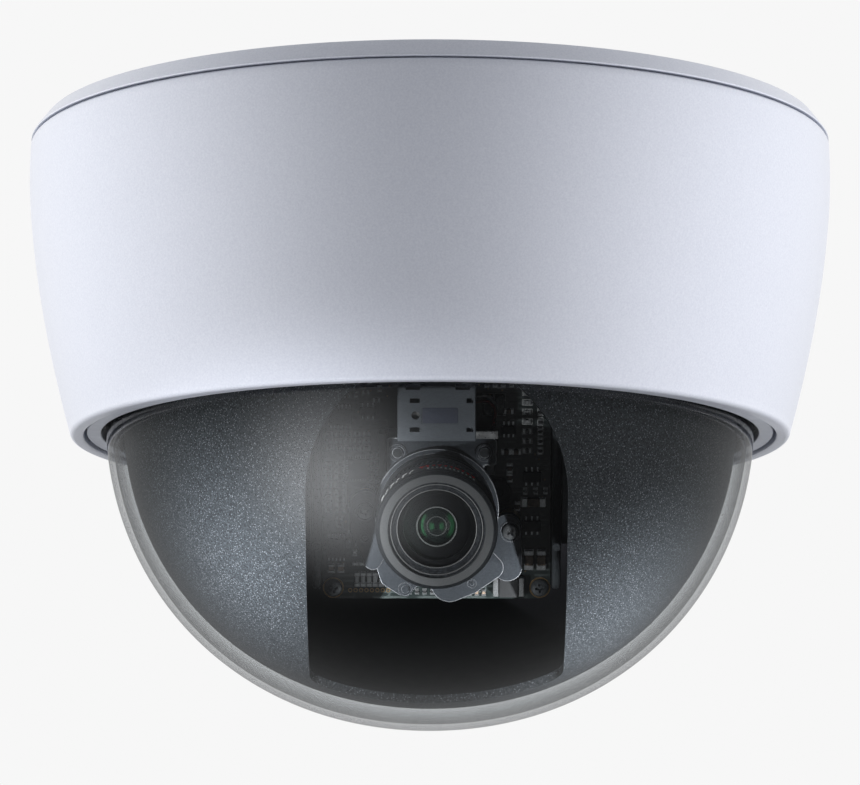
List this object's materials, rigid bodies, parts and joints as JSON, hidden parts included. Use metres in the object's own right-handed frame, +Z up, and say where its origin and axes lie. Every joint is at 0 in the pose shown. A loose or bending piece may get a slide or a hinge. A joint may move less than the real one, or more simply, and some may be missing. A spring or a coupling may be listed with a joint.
{
  "type": "dome cctv camera",
  "caption": "Ceiling-mounted indoor dome camera: round tapered cover with a clear dome over a slotted inner liner, a pan and tilt camera module and a varifocal lens with turning rings.",
  "frame": {"origin": "centre of the base plate's ceiling face, on the axis of the cover, the dome and the pan turntable", "axes": "+Z up into the ceiling, the lens looks towards -Y at rest, +X to the right seen from in front of the lens"},
  "size_m": [0.1502, 0.1502, 0.1132],
  "materials": {
    "pearl_housing": "satin pearl light grey with a very fine orange-peel texture",
    "ring_plastic": "smooth matt blue-grey",
    "clear_dome": "clear polished",
    "liner_paint": "dark metallic speckle, satin",
    "black_plastic": "fine matt",
    "lens_metal": "black anodised, satin",
    "dark_casting": "grained",
    "filter_metal": "satin",
    "steel": "plated",
    "brass": "plated",
    "rubber": "matt",
    "board_black": "solder resist, semi-gloss",
    "board_green": "solder resist, semi-gloss",
    "chip_black": "moulded",
    "ceramic_parts": "fired ceramic with tinned ends",
    "connector_plastic": "moulded nylon",
    "terminal_green": "moulded",
    "cast_aluminium": "cast, satin",
    "bracket_paint": "fine matt",
    "lens_glass": "coated optical glass",
    "filter_glass": "coated",
    "lead_jacket": "smooth"
  },
  "bodies": {
    "base": {"base_plate": "pearl_housing", "base_skirt": "pearl_housing", "bearing_ring": "pearl_housing", "ceiling_gasket": "rubber", "cable_grommet": "rubber", "cover_seal": "rubber", "cover_clips": "steel", "terminal_board": "board_green", "terminal_block": "terminal_green", "lead_header": "connector_plastic", "terminal_board_posts": "steel", "turntable_retainer": "cast_aluminium", "retainer_screws": "steel", "base_lead": "lead_jacket"},
    "pan_head": {"turntable": "bracket_paint", "yoke_arm_left": "bracket_paint", "yoke_arm_right": "bracket_paint", "yoke_screws": "steel", "pivot_bushes": "connector_plastic", "liner": "liner_paint", "liner_posts": "steel", "liner_screws": "steel", "upper_lead": "lead_jacket"},
    "camera_module": {"module_bracket": "bracket_paint", "pivot_screws": "steel", "pivot_washers": "steel", "camera_board": "board_black", "processor_board": "board_green", "board_spacers": "brass", "board_screws": "steel", "board_connector": "connector_plastic", "image_sensor": "chip_black", "board_chips": "chip_black", "board_passives": "ceramic_parts", "power_coils": "chip_black", "lens_holder": "dark_casting", "filter_housing": "filter_metal", "filter_motor": "steel", "filter_lead": "lead_jacket", "lens_barrel": "lens_metal", "lens_flange": "dark_casting", "flange_posts": "brass", "flange_screws": "steel", "inner_lenses": "lens_glass", "lead_plug": "connector_plastic", "lower_lead": "lead_jacket"},
    "zoom": {"zoom_ring": "lens_metal"},
    "focus": {"focus_ring": "lens_metal", "front_cell": "lens_metal", "front_lens": "lens_glass"},
    "filter": {"filter_frame": "black_plastic", "filter_glasses": "filter_glass"},
    "cover": {"cover_shell": "pearl_housing", "dome": "clear_dome", "dome_ring": "ring_plastic", "dome_gasket": "rubber", "dome_clamp": "black_plastic", "ring_screws": "steel"}
  },
  "joints": [
    {"name": "pan", "type": "hinge", "parent": "base", "child": "pan_head", "pos_m": [0, 0, -0.0208], "axis": [0, 0, 1], "range_deg": [-175, 175]},
    {"name": "tilt", "type": "hinge", "parent": "pan_head", "child": "camera_module", "pos_m": [0.0012, -0.006, -0.0694], "axis": [1, 0, 0], "range_deg": [-15, 50]},
    {"name": "zoom_turn", "type": "hinge", "parent": "camera_module", "child": "zoom", "pos_m": [0.0012, -0.03109, -0.07853], "axis": [0, -0.9397, -0.342], "range_deg": [-45, 45]},
    {"name": "focus_turn", "type": "hinge", "parent": "camera_module", "child": "focus", "pos_m": [0.0012, -0.03673, -0.08058], "axis": [0, -0.9397, -0.342], "range_deg": [-60, 60]},
    {"name": "filter_shift", "type": "slide", "parent": "camera_module", "child": "filter", "axis": [0, -0.342, 0.9397], "range_m": [0, 0.008]},
    {"name": "cover_pull", "type": "slide", "parent": "base", "child": "cover", "axis": [0, 0, -1], "range_m": [0, 0.12]}
  ]
}
